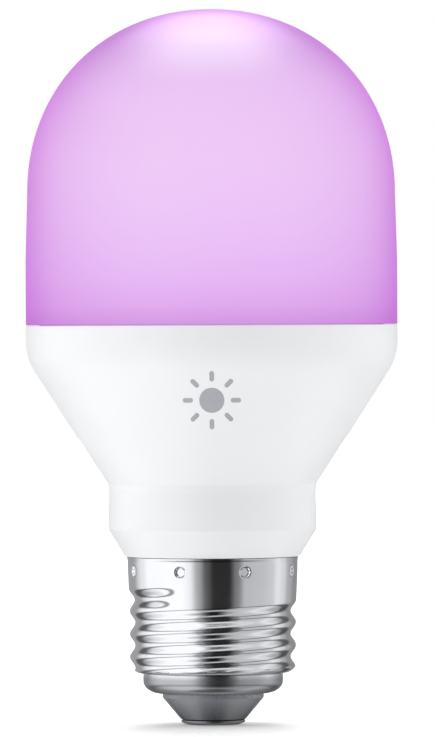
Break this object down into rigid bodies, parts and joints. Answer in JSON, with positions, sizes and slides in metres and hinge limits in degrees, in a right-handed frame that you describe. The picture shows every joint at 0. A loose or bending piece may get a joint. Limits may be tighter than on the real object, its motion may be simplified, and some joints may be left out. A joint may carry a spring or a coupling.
{
  "type": "smart light bulb",
  "caption": "Domed-cylinder smart lamp with a frosted lit diffuser, white tapered housing, driver and radio boards inside, and a right-hand Edison screw base.",
  "frame": {"origin": "centre of the tip contact's flat bottom, the end of the screw base", "axes": "+Z along the lamp's axis from the tip contact to the top of the diffuser; the printed mark faces -Y"},
  "size_m": [0.059, 0.059, 0.1135],
  "materials": {
    "diffuser": "frosted lilac-lit polycarbonate, satin",
    "housing": "moulded white polycarbonate, semi-gloss",
    "shell_nickel": "bright nickel plate over drawn sheet",
    "contact_nickel": "nickel plate, slightly dulled",
    "insulator": "dark grey-blue insulator, satin",
    "lead_live": "red wire insulation",
    "lead_neutral": "black wire insulation",
    "heat_sink": "pressed aluminium, matt",
    "sleeve": "natural nylon",
    "thermal_pad": "grey silicone pad",
    "light_board": "white solder mask over a metal-core board",
    "screw_steel": "zinc-plated steel",
    "led_warm": "amber phosphor in a white package",
    "led_cool": "pale yellow phosphor in a white package",
    "led_red": "clear lens over a red chip",
    "led_green": "clear lens over a green chip",
    "led_blue": "clear lens over a blue chip",
    "connector_white": "white nylon connector",
    "adhesive": "white silicone adhesive",
    "driver_board": "green solder mask on glass-fibre board",
    "ceramic_body": "tan ceramic coating with colour bands",
    "heat_shrink": "black heat-shrink tube",
    "ferrite": "dark grey sintered ferrite",
    "copper_wire": "enamelled copper wire",
    "blue_epoxy": "blue epoxy dip",
    "chip_black": "black moulding compound, tinned legs",
    "capacitor_sleeve": "dark printed sleeve over an aluminium can",
    "film_box": "yellow moulded box",
    "winding_tape": "yellow polyester tape over windings",
    "header_black": "black nylon with gold-plated pins",
    "radio_board": "dark blue-black solder mask",
    "shield_can": "tin-plated steel",
    "aerial_copper": "gold-plated copper trace"
  },
  "bodies": {
    "root": {"centre_contact": "contact_nickel", "base_insulator": "insulator", "screw_shell": "shell_nickel", "live_lead": "lead_live", "neutral_lead": "lead_neutral", "housing": "housing", "heat_sink_cup": "heat_sink", "insulating_sleeve": "sleeve", "thermal_pad": "thermal_pad", "led_board": "light_board", "led_board_screw_1": "screw_steel", "led_board_screw_2": "screw_steel", "led_board_screw_3": "screw_steel", "led_warm_white_1": "led_warm", "led_cool_white_1": "led_cool", "led_warm_white_2": "led_warm", "led_cool_white_2": "led_cool", "led_warm_white_3": "led_warm", "led_cool_white_3": "led_cool", "led_warm_white_4": "led_warm", "led_cool_white_4": "led_cool", "led_warm_white_5": "led_warm", "led_cool_white_5": "led_cool", "led_warm_white_6": "led_warm", "led_cool_white_6": "led_cool", "led_red_1": "led_red", "led_red_2": "led_red", "led_green_1": "led_green", "led_green_2": "led_green", "led_blue_1": "led_blue", "led_blue_2": "led_blue", "led_connector": "connector_white", "adhesive_bead": "adhesive", "diffuser": "diffuser", "driver_board": "driver_board", "fuse_resistor": "ceramic_body", "heat_shrink": "heat_shrink", "choke_core": "ferrite", "choke_winding": "copper_wire", "varistor": "blue_epoxy", "bridge_rectifier": "chip_black", "bulk_capacitor": "capacitor_sleeve", "film_capacitor": "film_box", "safety_capacitor": "blue_epoxy", "transformer_core": "ferrite", "transformer_winding": "winding_tape", "output_diode": "chip_black", "output_capacitor": "capacitor_sleeve", "switching_ic": "chip_black", "colour_driver_ic": "chip_black", "driver_pin_header": "header_black", "wifi_board": "radio_board", "wifi_shield_can": "shield_can", "wifi_pin_header": "header_black", "wifi_aerial": "aerial_copper"}
  },
  "joints": []
}
